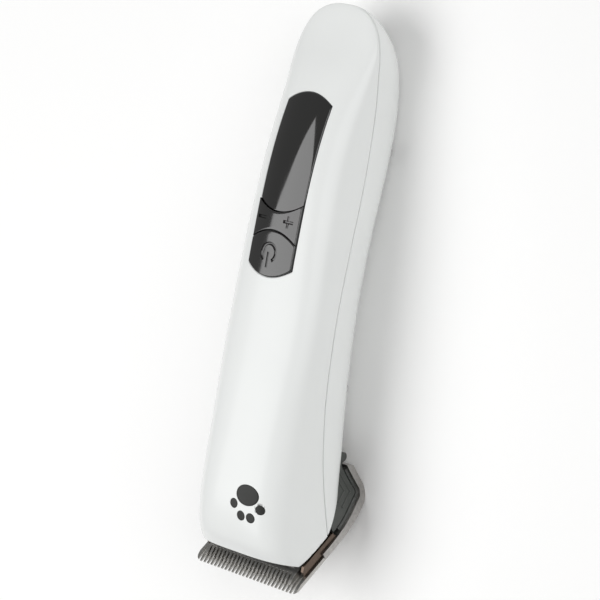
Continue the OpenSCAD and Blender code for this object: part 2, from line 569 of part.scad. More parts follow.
lead_r = 0.6;
lead_top = board_z - board_t - 0.1;
motor_pad_y = board_y0 + 2.5;
cell_pad_y = board_y0 + 1.3;
jack_pad_y = board_y1 - 2;
tab_top = cell_z + cell_r + 0.9;
motor_lead = [[5.6, motor_end + 4.1, axis_z], [5.6, motor_end + 4.6, axis_z],
  [5.6, motor_end + 5.3, axis_z + 0.8], [5.8, motor_end + 6, axis_z + 3],
  [6.4, motor_pad_y - 0.4, lead_top - 2.5], [6.6, motor_pad_y, lead_top - 1.1], [6.6, motor_pad_y, lead_top]];
cell_lead = [[0, cell_y - 1.3, tab_top], [0.3, cell_y - 1.9, tab_top + 0.8], [1, cell_y - 1.9, tab_top + 1.6],
  [2, cell_y - 1.1, tab_top + 2.2], [2.6, cell_pad_y, lead_top - 0.9], [2.6, cell_pad_y, lead_top]];
jack_lead = [[2, inlet_y - 9.4, 31], [2.4, inlet_y - 11.4, 32.6], [3, inlet_y - 15, 34],
  [3.6, inlet_y - 20, 35], [4, jack_pad_y + 12.2, lead_top - 2.5], [4.2, jack_pad_y + 4.2, lead_top - 2.7],
  [4.2, jack_pad_y + 1.2, lead_top - 2.3], [4.2, jack_pad_y, lead_top - 1.3], [4.2, jack_pad_y, lead_top]];
module motor_leads() color([0.7, 0.12, 0.1]) rest() mirrored() tube(motor_lead, lead_r);
module cell_leads() color([0.12, 0.12, 0.12]) rest() tube(cell_lead, lead_r);
module jack_leads() color([0.75, 0.15, 0.12]) rest() mirrored() tube(jack_lead, lead_r);

// ---- Charging jack ----
socket_r = 2.85;
jack_face = -inlet_mouth - inlet_l - fit_gap;
module charge_jack() color([0.09, 0.09, 0.09]) rest() at_inlet() difference() {
  translate([0, 0, jack_face - jack_l]) cylinder(r = jack_r, h = jack_l);
  translate([0, 0, jack_face - jack_l + 1.2]) cylinder(r = socket_r, h = jack_l);
}
module jack_pin() color([0.8, 0.8, 0.8]) rest() at_inlet()
  translate([0, 0, jack_face - jack_l + 1.2 + fit_gap / 2]) cylinder(r = 1, h = jack_l - 1.8);

// ---- Nose, collar and hinge ----
nose_n = mouth_n + 0.2;
nose_t = 1.2;
nose_s = [7.6, 21.4];
window_s = [8.1, 14.2];   // the fork's way through the plate
fork_x = pin_r + 2 * stroke + fit_gap;
fork_t = 2.2;
window_x = fork_x + fork_t + stroke + 0.4;
module nose_plate() color([0.85, 0.86, 0.86]) rest() difference() {
  union() {
    xz([for (k = [0 : arc_steps]) let (p = hull_pt(nose_y + 0.2, wall + 0.15, 180 * k / arc_steps, 1)) [p[0], p[2]]],
      nose_y + 0.2, 1.4);
    on_blade() block(-blade_w / 2 + 4.2, blade_w / 2 - 4.2, nose_s[0], nose_s[1], nose_n, nose_n + nose_t);
  }
  below_blade(nose_n);
  on_blade() block(-window_x, window_x, window_s[0], window_s[1], 0, 12);
}
seal_w = 1.4;
module dust_seal() color([0.15, 0.15, 0.16]) rest() on_blade() difference() {
  block(-window_x - seal_w, window_x + seal_w, window_s[0] + 0.9, window_s[1] + seal_w,
    nose_n + nose_t + fit_gap / 2, nose_n + nose_t + 1);
  block(-window_x, window_x, 0, window_s[1], 0, 12);
}

collar_s = 22.6;
collar_leg = leg_l - 2.2;
collar_t = 2.1;
collar_top = 0.15;        // gap between the collar and the shell above it
function lower(p, d) = [for (q = p) [q[0], q[1] - d]];
module collar_side(inset) intersection() {
  yz(concat(blade_line(collar_s, collar_n, collar_leg), back_to_front(lower(collar_line, collar_top))), blade_w);
  plan(inset);
}
module neck_collar() color([0.235, 0.245, 0.235]) rest() difference() {
  union() {
    difference() {
      collar_side(1);
      intersection() {
        above_blade(collar_n + collar_t);
        plan(1 + collar_t);
      }
      below_blade(collar_n);
      on_blade() block(-far / 2, far / 2, -far / 2, collar_s, -far / 2, far / 2);
    }
    mirrored() {
      rod_x(knuckle_r, hinge, knuckle_x + slide_gap, lug_x);
      block(knuckle_x + slide_gap, lug_x, hinge[0] - 3, hinge[0] + knuckle_r, hinge[1], neck_top - collar_top);
    }
    intersection() {
      difference() {
        block(-lug_x, lug_x, hinge[0] - 3, neck_lip - collar_top, 0, neck_top - collar_top);
        rod_x(knuckle_r + 0.35, hinge, -blade_w, blade_w);
        block(-blade_w, blade_w, 0, hinge[0] + knuckle_r + 0.35, 0, hinge[1] + 1);
        block(-blade_w, blade_w, 0, hinge[0] - 1, 0, hinge[1] + knuckle_r + 0.35);
      }
      half_body(-1, 0.05);
    }
  }
  rod_x(hinge_r + 0.02, hinge, -lug_x + 0.4, lug_x - 0.4);
}
module hinge_pin() color([0.72, 0.72, 0.72]) rest() rod_x(hinge_r, hinge, -lug_x + 0.5, lug_x - 0.5);

// ---- Blade set ----
tail_x = 16;              // half width of the comb's tail
tail_s = 27;
comb_screw_x = 9;
comb_screw_s = 19.5;
comb_screw_r = 1;
cutter_n = comb_t + 0.03;
root_s = tooth_l;
tip_round = 2;

// Gaps between teeth: narrow at the root and wide at the tips
module tooth_gaps(count, gap_root, gap_tip, s0, s1) for (k = [1 : count - 1])
  translate([(k - count / 2) * tooth_pitch, 0, 0])
    polygon([[-gap_tip / 2, s0 - 1], [-gap_tip / 2, s0 + 0.6], [-gap_root / 2, s1 - gap_root / 2],
      [0, s1], [gap_root / 2, s1 - gap_root / 2], [gap_tip / 2, s0 + 0.6], [gap_tip / 2, s0 - 1]]);
module comb_outline() {
  w = blade_w / 2;
  polygon(concat([[-w, base_s - 0.1]], [for (a = [180 : 15 : 270]) [-w + tip_round, tip_round] + tip_round * [cos(a), sin(a)]],
    [for (a = [270 : 15 : 360]) [w - tip_round, tip_round] + tip_round * [cos(a), sin(a)]], [[w, base_s - 0.1]],
    [[tail_x, base_s - 0.1], [tail_x, tail_s], [-tail_x, tail_s], [-tail_x, base_s - 0.1]]));
}
module comb_plate() color([0.6, 0.6, 0.58]) rest() on_blade() difference() {
  intersection() {
    linear_extrude(comb_t) difference() {
      comb_outline();
      tooth_gaps(comb_teeth, 0.5, 0.8, 0, root_s);
    }
    yz([[0, 0], [0, 0.35], [3, comb_t], [tail_s + 1, comb_t], [tail_s + 1, 0]], blade_w + 2);
  }
  mirrored() translate([comb_screw_x, comb_screw_s, 0]) {
    translate([0, 0, -1]) cylinder(r = comb_screw_r + 0.15, h = 4);
    translate([0, 0, -0.01]) cylinder(r1 = 2.15, r2 = comb_screw_r + 0.15, h = 0.9);
  }
}
module comb_screws() color([0.55, 0.55, 0.55]) rest() on_blade()
  mirrored() translate([comb_screw_x, comb_screw_s, 0]) difference() {
    union() {
      translate([0, 0, 0.05]) cylinder(r1 = 2, r2 = comb_screw_r, h = 0.85);
      translate([0, 0, 0.6]) cylinder(r = comb_screw_r, h = 3.6);
    }
    for (a = [0, 90]) rotate(a) translate([-1.1, -0.2, -1]) cube([2.2, 0.4, 1.5]);
  }
bracket_n = base_t + 0.05;
bracket_t = 0.8;
nut_n = bracket_n + bracket_t + 0.03;
module comb_nuts() color([0.7, 0.68, 0.6]) rest() on_blade()
  mirrored() translate([comb_screw_x, comb_screw_s, nut_n]) difference() {
    cylinder(r = 2, h = 1.1, $fn = 6);
    translate([0, 0, -1]) cylinder(r = comb_screw_r + 0.02, h = 4);
  }
module blade_base() color([0.74, 0.73, 0.71]) rest() difference() {
  union() {
    blade_band(base_s, 0, base_t, leg_l, 0);
    rod_x(knuckle_r, hinge, -knuckle_x, knuckle_x);
  }
  on_blade() block(-tail_x - fit_gap, tail_x + fit_gap, base_s - 1, tail_s + fit_gap, -1, comb_t + 0.05);
  on_blade() mirrored() translate([comb_screw_x, comb_screw_s, 0]) cylinder(r = comb_screw_r + 0.1, h = 4);
  mirrored() block(knuckle_x, blade_w, hinge[0] - 2.1, hinge[0] + 6, 0, far / 6);
  rod_x(hinge_r + pin_gap, hinge, -blade_w, blade_w);
}
trim_w = 2.6;
trim_s = 24.6;
module base_trim() color([0.26, 0.27, 0.265]) rest() difference() {
  blade_band(trim_s, base_t + 0.03, collar_n - 0.25, leg_l - 3.4, 0.8);
  intersection() {
    plan(0.8 + trim_w);
    on_blade() block(-blade_w, blade_w, trim_s + trim_w, far, -far, far);
  }
}
flange_in = blade_w / 2 - 1.7;
flange_out = blade_w / 2 - 0.7;
flange_s = [6.3, 22];
flange_top = 4.3;
module blade_bracket() color([0.5, 0.45, 0.41]) rest() on_blade() difference() {
  union() {
    block(-flange_out, flange_out, 13.2, 22.3, bracket_n, bracket_n + bracket_t);
    mirrored() yz([[flange_s[0], comb_t + 0.05], [flange_s[0], 3], [flange_s[0] + 1.3, flange_top],
      [flange_s[1], flange_top], [flange_s[1], bracket_n], [base_s - 0.1, bracket_n], [base_s - 0.1, comb_t + 0.05]],
      2 * flange_out);
  }
  block(-flange_in, flange_in, 0, 13.2, 0, 10);
  block(-flange_in, flange_in, 13.1, 30, bracket_n + bracket_t, 10);
  block(-flange_in, flange_in, 13, 30, 0, bracket_n);
  mirrored() translate([comb_screw_x, comb_screw_s, 0]) cylinder(r = comb_screw_r + 0.1, h = 6);
}
cutter_w = flange_in - stroke - 0.2;
cutter_teeth = 2 * floor(cutter_w / tooth_pitch);
cutter_s = [1.9, 12];
cutter_root = 5.2;
module cutter() color([0.62, 0.61, 0.59]) rest() on_blade() intersection() {
  translate([0, 0, cutter_n]) linear_extrude(cutter_t) difference() {
    translate([-cutter_teeth * tooth_pitch / 2, cutter_s[0]])
      square([cutter_teeth * tooth_pitch, cutter_s[1] - cutter_s[0]]);
    tooth_gaps(cutter_teeth, 0.55, 0.8, cutter_s[0], cutter_root);
    mirrored() translate([9, 9.6]) circle(r = 0.9);
  }
  yz([[0, 0], [cutter_s[0], cutter_n], [cutter_s[0], cutter_n + 0.5], [cutter_s[0] + 2.6, cutter_n + cutter_t],
    [cutter_s[1], cutter_n + cutter_t], [cutter_s[1], 0]], blade_w);
}
fork_n = cutter_n + cutter_t + 0.03;
fork_top = 8.4;
fork_foot = 10.4;          // half width of the foot that is riveted to the cutter
module drive_fork() color([0.12, 0.12, 0.125]) rest() on_blade() {
  block(-fork_foot, fork_foot, 8.5, 11.6, fork_n, fork_n + 0.7);
  mirrored() block(fork_x, fork_x + fork_t, 8.7, 11.6, fork_n, fork_top);
  mirrored() translate([9, 9.6, cutter_n + 0.1]) cylinder(r = 0.85, h = fork_n - cutter_n + 0.3);
}
spring_n = bracket_n + bracket_t + 0.05;
spring_t = 0.3;
module tension_spring() color([0.8, 0.8, 0.8]) rest() on_blade() difference() {
  union() {
    block(-15.5, 15.5, 14, 17.2, spring_n, spring_n + spring_t);
    mirrored() block(12.8, 15.5, 7.4, 15, spring_n, spring_n + spring_t);
  }
  mirrored() translate([5, 15.6, 0]) cylinder(r = 0.8, h = 6);
}

front_shell();
rear_shell();
shell_screws();
window_lens();
panel_tray();
power_key();
speed_rocker();
paw_badge();
control_board();
switch_bodies();
power_plunger();
minus_plunger();
plus_plunger();
charge_lights();
chassis();
motor_can();
motor_cap();
motor_bushings();
motor_magnets();
armature();
motor_shaft();
eccentric_cam();
drive_pin();
battery_cell();
cell_tabs();
charge_jack();
jack_pin();
motor_leads();
cell_leads();
jack_leads();
nose_plate();
dust_seal();
neck_collar();
hinge_pin();
blade_base();
base_trim();
comb_plate();
comb_screws();
comb_nuts();
blade_bracket();
tension_spring();
cutter();
drive_fork();
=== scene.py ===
import json
import math
import bmesh
import bpy
from mathutils import Matrix, Vector


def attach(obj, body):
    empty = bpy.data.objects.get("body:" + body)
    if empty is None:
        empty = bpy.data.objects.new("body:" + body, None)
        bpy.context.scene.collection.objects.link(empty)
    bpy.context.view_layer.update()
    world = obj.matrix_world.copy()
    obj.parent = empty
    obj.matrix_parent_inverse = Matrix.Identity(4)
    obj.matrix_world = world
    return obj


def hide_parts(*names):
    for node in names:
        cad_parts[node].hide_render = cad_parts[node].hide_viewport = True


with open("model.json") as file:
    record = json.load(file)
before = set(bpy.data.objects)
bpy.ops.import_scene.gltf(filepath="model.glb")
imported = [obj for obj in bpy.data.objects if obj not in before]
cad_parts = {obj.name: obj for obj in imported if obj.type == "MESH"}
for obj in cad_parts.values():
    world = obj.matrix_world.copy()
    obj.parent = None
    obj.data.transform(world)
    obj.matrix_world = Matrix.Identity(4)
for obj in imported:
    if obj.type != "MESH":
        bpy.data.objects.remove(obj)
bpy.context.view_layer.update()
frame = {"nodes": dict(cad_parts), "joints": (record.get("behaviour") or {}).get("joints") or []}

print("frame loaded:", len(frame["nodes"]), "nodes")


# Lengths are millimetres in the clipper's own drawing: x across, y back from the comb tips,
# z up through the grip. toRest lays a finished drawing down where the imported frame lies.
housing = dict(
    nose=8,             # front edge of the face
    tailEnd=172.8,
    tailRound=19.8,     # length over which the tail rounds off
    tailHeight=31.5,
    tailPower=2.5,
    facePower=2.45,     # squareness of the face, of the nose's face and of the back
    nosePower=3.5,
    noseReach=60,       # behind this point the face has its own squareness
    backPower=2.6,
    wall=2.0,
    groove=0.2,         # open line between the two shells
    edgeRound=0.3,
    rows=150,
    columns=96,
    straightShare=0.76, # share of the rows before the tail rounds off
    sharpTail=2,        # the shells' rims stay sharp over this length
    face=[(8, 38), (12, 41.5), (20, 44.3), (30, 45.7), (40, 46), (60, 45.8), (80, 45.3),
          (100, 45.4), (120, 44.8), (135, 42.8), (150, 38.7), (160, 35.2), (167, 33.6), (173, 33)],
    back=[(8, 11.4), (24, 11.4), (42, 11.6), (53, 12.9), (65, 14.2), (77, 15.1), (89, 15.5),
          (102, 15.1), (115, 13.7), (128, 11.9), (140, 11.1), (150, 12), (160, 15.6), (167, 20),
          (173, 26)],
    parting=[(8, 17.3), (14, 19.5), (25, 23.6), (36, 27), (47, 29.5), (58, 31.3), (70, 32.2),
             (82, 32.5), (95, 31.9), (108, 30.9), (120, 29.9), (133, 29.4), (145, 29.7),
             (156, 31), (173, 31.5)],
    side=[(0, 20.6), (20, 20), (40, 19.3), (80, 18.8), (110, 18), (140, 16.9), (160, 16.4),
          (173, 16)],
)
bladeSet = dict(
    combHeight=31.6,    # height of the comb tips
    angle=45,           # of the comb plane
    planeLength=42.1,
    legLength=14.6,     # from the end of the plane up to the hinge
    legRise=40,
    hingeIn=1.5,        # distance of the hinge pin from the outer face
    mouth=4.7,          # height of the housing's mouth over the comb plane
    plan=[(-4, 21), (15, 21), (22, 20), (28, 17.5), (32, 16), (36, 15), (46, 13.5)],
)


def smoothLine(points, y):
    last = len(points) - 2
    i = 0
    while i < last and y >= points[i + 1][0]:
        i += 1

    def slopeAt(k):
        before = points[max(k - 1, 0)]
        after = points[min(k + 1, len(points) - 1)]
        return (after[1] - before[1]) / (after[0] - before[0])

    span = points[i + 1][0] - points[i][0]
    u = (y - points[i][0]) / span
    w = 1 - u
    start = (1 + 2 * u) * w * w * points[i][1] + u * w * w * span * slopeAt(i)
    return start + u * u * (3 - 2 * u) * points[i + 1][1] - u * u * w * span * slopeAt(i + 1)


def tailShare(y, inset):
    reach = housing["tailRound"] - inset
    along = min(1.0, max(0.0, (y - housing["tailEnd"] + housing["tailRound"]) / reach))
    return (1 - along ** housing["tailPower"]) ** (1 / housing["tailPower"])


def sectionAt(y, side, inset):
    parting = smoothLine(housing["parting"], y)
    if side > 0:
        reach = housing["noseReach"]
        nearNose = min(1.0, max(0.0, (reach - y) / (reach - housing["nose"])))
        power = housing["facePower"] + (housing["nosePower"] - housing["facePower"]) * nearNose ** 2
        height = smoothLine(housing["face"], y) - inset - parting
    else:
        power = housing["backPower"]
        height = parting - smoothLine(housing["back"], y) - inset
    return parting, power, height, smoothLine(housing["side"], y) - inset


# A point of one shell's outside: angle runs over the shell from its right edge to its left one
def hullPoint(y, angle, side, gap):
    parting, power, height, width = sectionAt(y, side, 0)
    share = tailShare(y, 0)
    across = math.copysign(abs(math.cos(angle)) ** (2 / power), math.cos(angle)) * width
    up = parting + side * (gap + max(0.0, math.sin(angle)) ** (2 / power) * (height - gap))
    tail = housing["tailHeight"] + side * gap
    return Vector((across * share, y, tail + (up - tail) * share))


def surfaceHeight(x, y, depth=0.0, side=1):
    parting, power, height, width = sectionAt(y, side, depth)
    share = tailShare(y, depth)
    edge = max(0.0, 1 - (abs(x) / share / width) ** power) ** (1 / power)
    tail = housing["tailHeight"]
    return tail + (parting - tail) * share + side * share * height * edge


def bladePoint(s, n):
    a = math.radians(bladeSet["angle"])
    return Vector((0, s * math.cos(a) + n * math.sin(a),
                   bladeSet["combHeight"] - s * math.sin(a) + n * math.cos(a)))


def legPoint(along, n):
    rise = math.radians(bladeSet["legRise"])
    start = bladePoint(bladeSet["planeLength"], 0)
    return start + Vector((0, along * math.cos(rise) - n * math.sin(rise),
                           along * math.sin(rise) + n * math.cos(rise)))


# The side view of the blade set at height n over its outer face: plane, then leg
def bladeLine(s, n, leg):
    half = math.radians(180 - bladeSet["angle"] - bladeSet["legRise"]) / 2
    return [bladePoint(s, n), bladePoint(bladeSet["planeLength"] - n / math.tan(half), n), legPoint(leg, n)]


def planHalf(y):
    return min(bladeSet["plan"][0][1], smoothLine(bladeSet["plan"], y))


def jointCalled(name):
    return next(j for j in frame["joints"] if j["name"] == name)


spinAxis = jointCalled("motor_spin")["axis"]
lean = math.atan2(-spinAxis[2], spinAxis[1])
hingeAt = legPoint(bladeSet["legLength"], bladeSet["hingeIn"])
turned = Matrix.Rotation(-lean, 4, "X") @ Matrix.Scale(0.001, 4)
toRest = Matrix.Translation(Vector(jointCalled("head_tilt")["pos_m"]) - turned @ hingeAt) @ turned


def allOf(bm):
    return bm.verts[:] + bm.edges[:] + bm.faces[:]


def putAtRest(bm, name):
    bmesh.ops.transform(bm, matrix=toRest, verts=bm.verts)
    mesh = bpy.data.meshes.new(name)
    bm.to_mesh(mesh)
    bm.free()
    piece = bpy.data.objects.new(name, mesh)
    bpy.context.scene.collection.objects.link(piece)
    return piece


def addModifier(piece, kind, **settings):
    modifier = piece.modifiers.new(kind.title(), kind)
    for key, value in settings.items():
        setattr(modifier, key, value)
    return modifier


def cutWith(piece, cutter, operation="DIFFERENCE", solver="EXACT"):
    addModifier(piece, "BOOLEAN", operation=operation, object=cutter, solver=solver)
    cutter.hide_render = True
    return cutter


# Applies the modifiers and drops the cutters that they used
def settle(piece, cutters=()):
    bpy.context.view_layer.update()
    seen = piece.evaluated_get(bpy.context.evaluated_depsgraph_get())
    mesh = bpy.data.meshes.new_from_object(seen)
    piece.modifiers.clear()
    piece.data = mesh
    mesh.name = piece.name
    for cutter in cutters:
        bpy.data.objects.remove(cutter)


def finishSurface(piece, material, sharp=32):
    mesh = piece.data
    mesh.materials.clear()
    mesh.materials.append(material)
    for face in mesh.polygons:
        face.material_index = 0
        face.use_smooth = True
    mesh.set_sharp_from_angle(angle=math.radians(sharp))
    addModifier(piece, "WEIGHTED_NORMAL", keep_sharp=True)


def fasten(piece, body, slot, *nodes):
    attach(piece, body)
    if nodes:
        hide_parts(*nodes)
    return piece


def faceAway(bm, direction):
    bm.normal_update()
    top = max(bm.faces, key=lambda f: f.calc_center_median().dot(direction))
    if top.normal.dot(direction) < 0:
        bmesh.ops.reverse_faces(bm, faces=bm.faces)


def addRod(bm, place, direction, radius, length, segments=48):
    turn = Vector(direction).to_track_quat("Z", "Y").to_matrix().to_4x4()
    middle = Vector(place) + Vector(direction).normalized() * length / 2
    bmesh.ops.create_cone(bm, cap_ends=True, segments=segments, radius1=radius, radius2=radius,
                          depth=length, matrix=Matrix.Translation(middle) @ turn)


# Adds rods, given in the drawing's place, to a finished piece
def growRods(piece, rods):
    added = bmesh.new()
    for place, direction, radius, length in rods:
        addRod(added, place, direction, radius, length, 24)
    bmesh.ops.transform(added, matrix=toRest, verts=added.verts)
    mesh = bpy.data.meshes.new("rods")
    added.to_mesh(mesh)
    added.free()
    bm = bmesh.new()
    bm.from_mesh(piece.data)
    bm.from_mesh(mesh)
    bm.to_mesh(piece.data)
    bm.free()
    bpy.data.meshes.remove(mesh)


# A closed slab from an outline in the side view
def addSlab(bm, outline, halfWidth):
    corners = [bm.verts.new((-halfWidth, p[0], p[1])) for p in outline]
    face = bm.faces.new(corners)
    grown = bmesh.ops.extrude_face_region(bm, geom=[face])
    moved = [v for v in grown["geom"] if isinstance(v, bmesh.types.BMVert)]
    bmesh.ops.translate(bm, vec=(2 * halfWidth, 0, 0), verts=moved)
    bmesh.ops.recalc_face_normals(bm, faces=bm.faces)


def newMaterial(name, settings):
    material = bpy.data.materials.new(name)
    material.use_nodes = True
    shader = material.node_tree.nodes["Principled BSDF"]
    for socket, value in settings.items():
        if socket == "Base Color":
            value = (*value, 1)
        shader.inputs[socket].default_value = value
    material.diffuse_color = (*settings["Base Color"], 1)
    return material


def noiseOn(material, scale, detail=2.0, stretch=(1, 1, 1), turn=(0, 0, 0)):
    nodes = material.node_tree.nodes
    links = material.node_tree.links
    where = nodes.new("ShaderNodeTexCoord")
    mapping = nodes.new("ShaderNodeMapping")
    mapping.inputs["Scale"].default_value = stretch
    mapping.inputs["Rotation"].default_value = [math.radians(a) for a in turn]
    noise = nodes.new("ShaderNodeTexNoise")
    noise.inputs["Scale"].default_value = scale
    noise.inputs["Detail"].default_value = detail
    links.new(where.outputs["Object"], mapping.inputs["Vector"])
    links.new(mapping.outputs["Vector"], noise.inputs["Vector"])
    return noise.outputs["Fac"]


def addBump(material, height, strength, distance):
    nodes = material.node_tree.nodes
    links = material.node_tree.links
    bump = nodes.new("ShaderNodeBump")
    bump.inputs["Strength"].default_value = strength
    bump.inputs["Distance"].default_value = distance
    links.new(height, bump.inputs["Height"])
    links.new(bump.outputs["Normal"], nodes["Principled BSDF"].inputs["Normal"])


def addRange(material, factor, low, high, socket):
    nodes = material.node_tree.nodes
    links = material.node_tree.links
    span = nodes.new("ShaderNodeMapRange")
    span.inputs["From Min"].default_value = 0.3
    span.inputs["From Max"].default_value = 0.7
    span.inputs["To Min"].default_value = low
    span.inputs["To Max"].default_value = high
    links.new(factor, span.inputs["Value"])
    links.new(span.outputs["Result"], nodes["Principled BSDF"].inputs[socket])


def addTones(material, factor, dark, light):
    nodes = material.node_tree.nodes
    links = material.node_tree.links
    ramp = nodes.new("ShaderNodeValToRGB")
    ramp.color_ramp.elements[0].position = 0.3
    ramp.color_ramp.elements[0].color = (*dark, 1)
    ramp.color_ramp.elements[1].position = 0.7
    ramp.color_ramp.elements[1].color = (*light, 1)
    links.new(factor, ramp.inputs["Fac"])
    links.new(ramp.outputs["Color"], nodes["Principled BSDF"].inputs["Base Color"])


# Moulded plastic: a tone that barely varies, a fine skin and patches of gloss
def mouldedPlastic(name, colour, rough, spread=0.05, grain=900, depth=0.00001, coat=0.0, specular=0.5):
    material = newMaterial(name, {"Base Color": colour, "Roughness": rough, "Coat Weight": coat,
                                  "Coat Roughness": 0.04, "Specular IOR Level": specular})
    dark = [c * (1 - spread) for c in colour]
    light = [min(1.0, c * (1 + spread)) for c in colour]
    addTones(material, noiseOn(material, 45, 3), dark, light)
    patches = min(0.15, 3 * spread)                   # an even finish has an even gloss
    addRange(material, noiseOn(material, 130, 3), rough * (1 - patches), rough * (1 + patches), "Roughness")
    addBump(material, noiseOn(material, grain, 2), 0.12, depth)
    return material


# Ground steel: long fine scratches across the grinding direction
def groundSteel(name, colour, rough, stretch, turn=(0, 0, 0), depth=0.00002):
    material = newMaterial(name, {"Base Color": colour, "Roughness": rough, "Metallic": 1.0})
    lines = noiseOn(material, 320, 4, stretch, turn)
    addTones(material, lines, [c * 0.86 for c in colour], [min(1.0, c * 1.12) for c in colour])
    addRange(material, noiseOn(material, 90, 3), rough * 0.8, rough * 1.25, "Roughness")
    addBump(material, lines, 0.25, depth)
    return material


finishes = dict(
    whiteGloss=mouldedPlastic("whiteGloss", (0.8, 0.815, 0.805), 0.24, 0.008, 700, 0.000006, 0, 0.32),
    windowBlack=mouldedPlastic("windowBlack", (0.005, 0.005, 0.0045), 0.06, 0.1, 500, 0.000002, 0, 1),
    keyBlack=mouldedPlastic("keyBlack", (0.008, 0.008, 0.0075), 0.1, 0.1, 1400, 0.000004, 0, 1),
    badgeBlack=mouldedPlastic("badgeBlack", (0.025, 0.026, 0.024), 0.35, 0.15, 1500, specular=0.2),
    innerBlack=mouldedPlastic("innerBlack", (0.02, 0.02, 0.02), 0.45, 0.2),
    innerGrey=mouldedPlastic("innerGrey", (0.5, 0.51, 0.52), 0.4, 0.06),
    collarGrey=mouldedPlastic("collarGrey", (0.048, 0.052, 0.047), 0.38, 0.14, 2200, 0.00003),
    trimGrey=mouldedPlastic("trimGrey", (0.06, 0.062, 0.058), 0.3, 0.12, 2200, 0.00002),
    silverPlastic=groundSteel("silverPlastic", (0.42, 0.405, 0.39), 0.36, (3, 3, 3), depth=0.00001),
    bladeSteel=groundSteel("bladeSteel", (0.44, 0.43, 0.41), 0.27, (1, 9, 9), (-45, 0, 0)),
    bracketSteel=groundSteel("bracketSteel", (0.12, 0.09, 0.072), 0.22, (9, 1, 9), (-45, 0, 0)),
    brightSteel=groundSteel("brightSteel", (0.6, 0.6, 0.6), 0.22, (4, 4, 4)),
    bronze=groundSteel("bronze", (0.55, 0.38, 0.2), 0.35, (4, 4, 4)),
    copper=groundSteel("copper", (0.6, 0.27, 0.13), 0.3, (1, 12, 12)),
    magnetGrey=mouldedPlastic("magnetGrey", (0.05, 0.05, 0.055), 0.5, 0.3),
    boardGreen=mouldedPlastic("boardGreen", (0.02, 0.13, 0.06), 0.3, 0.35, 350, 0.00002),
    plungerWhite=mouldedPlastic("plungerWhite", (0.6, 0.58, 0.52), 0.4),
    lightClear=mouldedPlastic("lightClear", (0.7, 0.75, 0.7), 0.1),
    cellBlue=mouldedPlastic("cellBlue", (0.03, 0.13, 0.36), 0.25, 0.1, 300, 0.00001, 0.3),
    leadRed=mouldedPlastic("leadRed", (0.45, 0.02, 0.02), 0.35),
    leadBlack=mouldedPlastic("leadBlack", (0.02, 0.02, 0.02), 0.35),
    sealRubber=mouldedPlastic("sealRubber", (0.03, 0.03, 0.03), 0.7, 0.2, 2500, 0.00003),
    jackBlack=mouldedPlastic("jackBlack", (0.015, 0.015, 0.015), 0.3),
)
print("finishes made:", len(finishes))


# The panel: bowed seams between a window, a rocker and a round-ended power key
panel = dict(
    width=17.5,
    start=93.7,
    keySeam=101.3,
    rockerSeam=112.9,
    end=142.8,
    endBow=3.1,
    seamBow=3.0,
    seam=0.12,          # each piece is this much smaller than its place
    proud=0.5,          # how far the keys stand over the face
    chamfer=0.25,       # round the opening
    cutterProud=0.6,    # how far the cutter of the opening stands over the face
    openingDepth=4.2,
    windowDepth=1.6,    # underside of the window
    keyDepth=1.5,       # underside of the keys
)
# Soft edges, as depths below the face and growths of the outline
windowEdge = [(0.03, -0.3), (0.06, -0.14), (0.16, -0.03), (0.3, 0)]
keyEdge = [(0, -0.42), (0.04, -0.2), (0.14, -0.05), (0.32, 0)]
badge = dict(x=7.2, y=25.0, padRadius=3.1, padWide=1.25, toeRadius=1.45, padBack=1.9, thick=0.45,
             toes=[(-4.6, 1.5), (-1.7, 4.6), (1.7, 4.6), (4.6, 1.5)], proud=0.045, seat=0.05,
             rings=[(1, 0.15), (1, 0.4), (1, 0.65), (1, 0.85), (1, 1), (-1, 1), (-1, 0.6), (-1, 0.2)],
             segments=40, soft=0.08, seatReach=1)


# A patch of the face between two bowed ends; each level is a depth below the face and a growth
def faceTile(width, y0, bow0, y1, bow1, levels, across=28, along=16):
    bm = bmesh.new()
    bmesh.ops.create_grid(bm, x_segments=across, y_segments=along, size=0.5)
    base = {v: (v.co.x * 2, v.co.y + 0.5) for v in bm.verts}

    def place(verts, spots, depth, grow):
        for v in verts:
            u, t = spots[v]
            bow = 1 - u * u
            near = y0 + bow0 * bow - grow
            far = y1 + bow1 * bow + grow
            x = u * (width / 2 + grow)
            y = near + (far - near) * t
            v.co = (x, y, surfaceHeight(x, y, depth))

    place(bm.verts, base, *levels[0])
    faceAway(bm, Vector((0, 0, 1)))
    skin = bm.faces[:]
    lid = bmesh.ops.duplicate(bm, geom=skin)
    twins = {a: b for a, b in lid["vert_map"].items() if a in base}
    bottomFaces = [f for f in lid["geom"] if isinstance(f, bmesh.types.BMFace)]
    bmesh.ops.reverse_faces(bm, faces=bottomFaces)
    place([twins[v] for v in base], {twins[v]: base[v] for v in base}, *levels[-1])
    rim = [e for e in bm.edges if len(e.link_faces) == 1 and e.verts[0] in base]
    spots = dict(base)
    for depth, grow in levels[1:-1]:
        grown = bmesh.ops.extrude_edge_only(bm, edges=rim)
        fresh = [g for g in grown["geom"] if isinstance(g, bmesh.types.BMVert)]
        rimVerts = {v for e in rim for v in e.verts}
        for v in fresh:
            old = min(rimVerts, key=lambda q: (q.co - v.co).length_squared)
            spots[v] = spots[old]
        place(fresh, spots, depth, grow)
        rim = [g for g in grown["geom"] if isinstance(g, bmesh.types.BMEdge)]
    low = [e for e in bm.edges if len(e.link_faces) == 1]
    bmesh.ops.bridge_loops(bm, edges=low)
    bmesh.ops.recalc_face_normals(bm, faces=bm.faces)
    return bm


# Lays a flat drawing, whose z is a height over the face, on the face
def drape(bm, depth=0.0):
    for v in bm.verts:
        v.co.z += surfaceHeight(v.co.x, v.co.y, depth)


